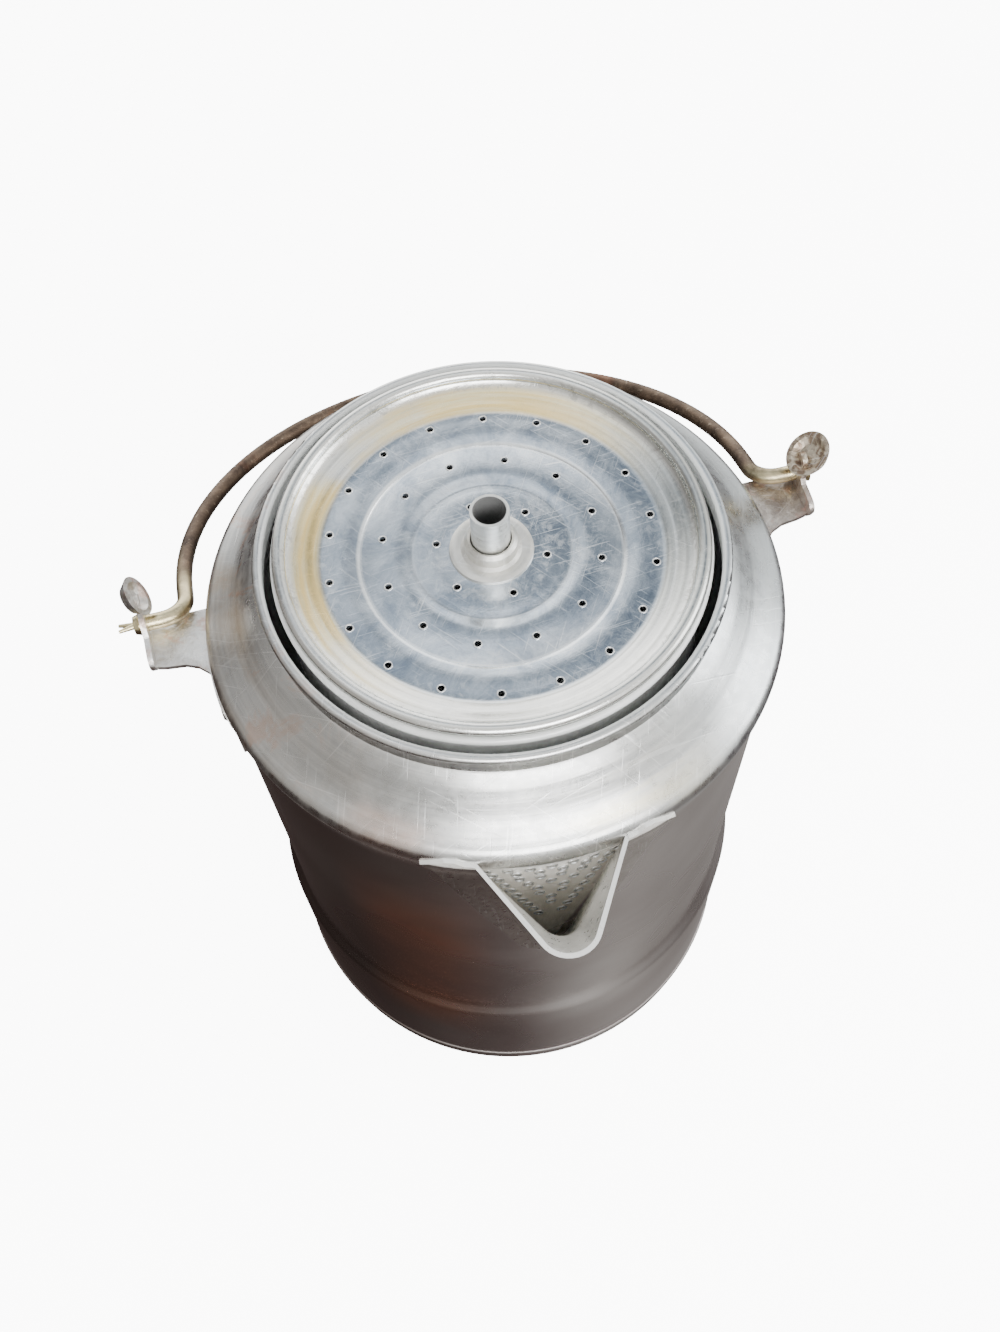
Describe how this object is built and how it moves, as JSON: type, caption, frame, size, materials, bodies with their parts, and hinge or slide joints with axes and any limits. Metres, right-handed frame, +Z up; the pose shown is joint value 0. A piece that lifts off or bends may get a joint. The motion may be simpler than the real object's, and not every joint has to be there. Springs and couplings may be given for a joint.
{
  "type": "stovetop coffee percolator",
  "caption": "Spun aluminium stovetop percolator with a V spout, swinging wire bail on riveted ears, lift-out basket, perforated spreader and pump stem, shown without its lid.",
  "frame": {"origin": "middle of the underside of the pot, on the pot's axis", "axes": "+Z up along the pot's axis, -Y towards the spout, +X and -X towards the two bail ears"},
  "size_m": [0.1907, 0.2014, 0.2298],
  "materials": {
    "body_aluminium": "worn satin, concentric brushing",
    "spout_aluminium": "worn satin sheet with bright cut edges",
    "ear_aluminium": "stamped sheet, dull",
    "rivet_aluminium": "dull domed heads",
    "bail_steel": "brown patina, brassy where it rubs",
    "tube_aluminium": "dull, off-white scale",
    "pump_aluminium": "dull spun sheet",
    "valve_metal": "flat washer",
    "basket_aluminium": "satin spun sheet",
    "spreader_aluminium": "mottled, coffee-stained wall",
    "collar_aluminium": "dull, off-white scale"
  },
  "bodies": {
    "pot": {"pot_body": "body_aluminium", "spout": "spout_aluminium", "left_ear": "ear_aluminium", "right_ear": "ear_aluminium", "left_ear_rivets": "rivet_aluminium", "right_ear_rivets": "rivet_aluminium"},
    "bail": {"bail_wire": "bail_steel"},
    "pump": {"pump_tube": "tube_aluminium", "pump_bell": "pump_aluminium", "valve_seat": "pump_aluminium", "basket_stop": "pump_aluminium"},
    "valve": {"valve_disc": "valve_metal"},
    "basket": {"basket": "basket_aluminium", "basket_eyelet": "basket_aluminium"},
    "spreader": {"spreader_plate": "spreader_aluminium", "spreader_collar": "collar_aluminium"}
  },
  "joints": [
    {"name": "bail_swing", "type": "hinge", "parent": "pot", "child": "bail", "pos_m": [-0.00115, 0.01646, 0.19169], "axis": [0.9976, 0.0698, 0], "range_deg": [0, 193.5]},
    {"name": "pump_lift", "type": "slide", "parent": "pot", "child": "pump", "axis": [0, 0, 1], "range_m": [0, 0.23]},
    {"name": "valve_lift", "type": "slide", "parent": "pump", "child": "valve", "axis": [0, 0, 1], "range_m": [0, 0.0024]},
    {"name": "basket_lift", "type": "slide", "parent": "pump", "child": "basket", "axis": [0, 0, 1], "range_m": [0, 0.065]},
    {"name": "spreader_lift", "type": "slide", "parent": "basket", "child": "spreader", "axis": [0, 0, 1], "range_m": [0, 0.022]}
  ]
}
